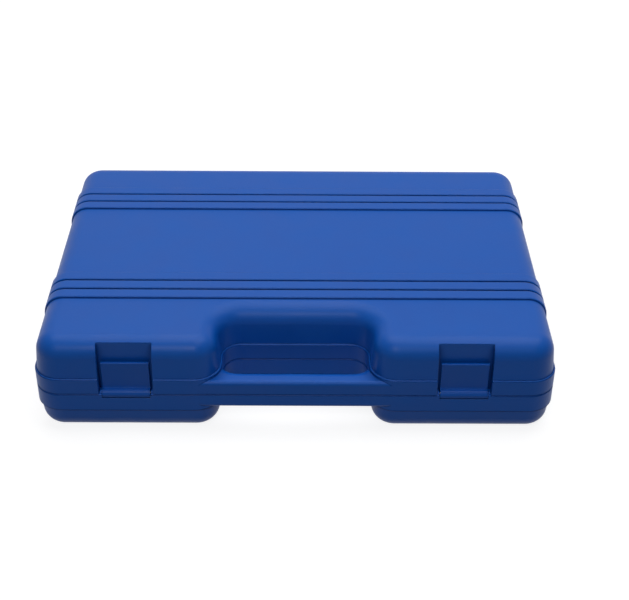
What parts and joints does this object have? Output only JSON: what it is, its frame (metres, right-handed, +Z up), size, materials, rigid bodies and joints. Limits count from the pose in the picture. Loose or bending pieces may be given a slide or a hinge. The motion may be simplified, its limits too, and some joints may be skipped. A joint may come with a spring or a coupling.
{
  "type": "tool case",
  "caption": "Blow-moulded plastic tool case with a hinged ribbed lid, snap latches and a moulded carrying handle in a front hand notch.",
  "frame": {"origin": "middle of the case's bounding box, on the surface it stands on", "axes": "+Z up, +Y towards the hinge at the back, -Y towards the handle and the latches, +X to the right seen from the handle"},
  "size_m": [0.385, 0.28, 0.08],
  "materials": {
    "case_plastic": "blow-moulded polyethylene, satin with a fine grain",
    "latch_plastic": "injection-moulded polypropylene, fine satin",
    "pin_steel": "drawn steel wire, zinc plated"
  },
  "bodies": {
    "base": {"base_shell": "case_plastic", "latch_pin_left": "pin_steel", "latch_pin_right": "pin_steel", "hinge_pin_left": "pin_steel", "hinge_pin_right": "pin_steel"},
    "lid": {"lid_shell": "case_plastic"},
    "latch_left": {"latch_left": "latch_plastic"},
    "latch_right": {"latch_right": "latch_plastic"}
  },
  "joints": [
    {"name": "lid_hinge", "type": "hinge", "parent": "base", "child": "lid", "pos_m": [0, 0.1364, 0.0354], "axis": [-1, 0, 0], "range_deg": [0, 160]},
    {"name": "latch_left_hinge", "type": "hinge", "parent": "base", "child": "latch_left", "pos_m": [-0.124, -0.1359, 0.0344], "axis": [1, 0, 0], "range_deg": [0, 115]},
    {"name": "latch_right_hinge", "type": "hinge", "parent": "base", "child": "latch_right", "pos_m": [0.124, -0.1359, 0.0344], "axis": [1, 0, 0], "range_deg": [0, 115]}
  ]
}
